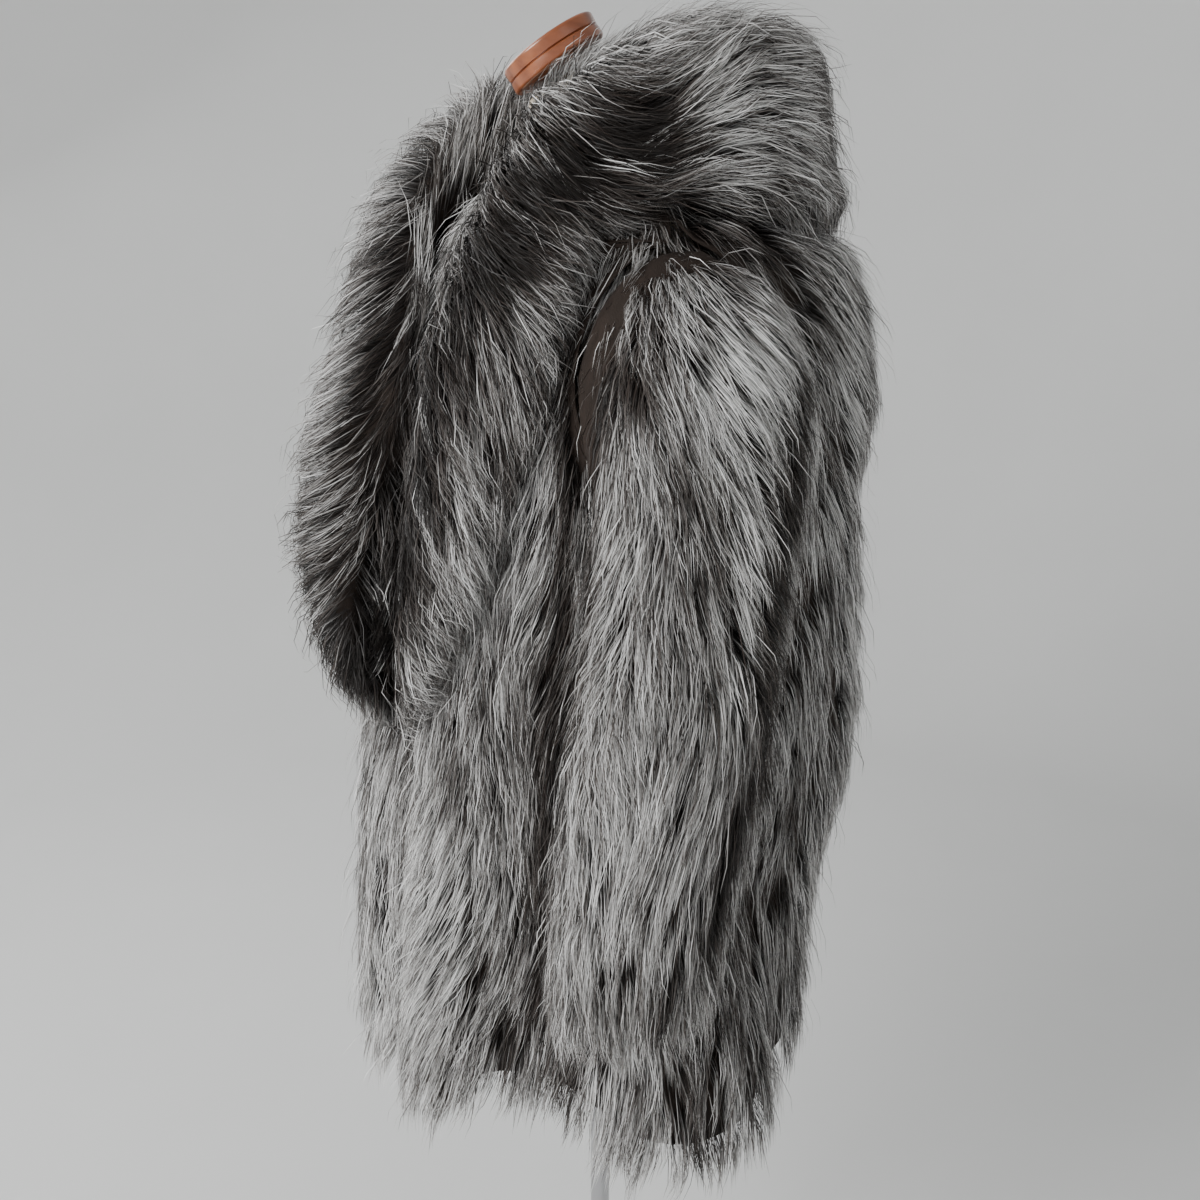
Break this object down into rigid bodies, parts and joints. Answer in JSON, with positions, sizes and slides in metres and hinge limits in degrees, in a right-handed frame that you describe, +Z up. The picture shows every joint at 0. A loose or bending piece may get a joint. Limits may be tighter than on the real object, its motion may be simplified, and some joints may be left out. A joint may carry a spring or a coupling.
{
  "type": "fur coat on dress form",
  "caption": "Worn-shape fox fur half coat with a very wide shawl collar, open at neck, cuffs and hem, standing on a limbless dress form with a turned neck cap, pole and round base.",
  "frame": {"origin": "centre of the underside of the base, on the floor, on the axis of the pole", "axes": "+Z up, -Y the way the wearer faces, +X the wearer's left"},
  "size_m": [0.638, 0.5763, 1.6046],
  "materials": {
    "fox_fur": "long silver fox fur",
    "collar_fur": "long dark silver fox fur",
    "lining": "dark satin lining",
    "form_cloth": "plain woven cotton",
    "varnished_wood": "reddish brown gloss varnish",
    "chrome": "polished"
  },
  "bodies": {
    "root": {"left_front": "fox_fur", "right_front": "fox_fur", "back": "fox_fur", "left_sleeve": "fox_fur", "right_sleeve": "fox_fur", "left_collar": "collar_fur", "right_collar": "collar_fur", "body_lining": "lining", "form_torso": "form_cloth", "neck_cap": "varnished_wood", "pole": "chrome", "base": "chrome"}
  },
  "joints": []
}
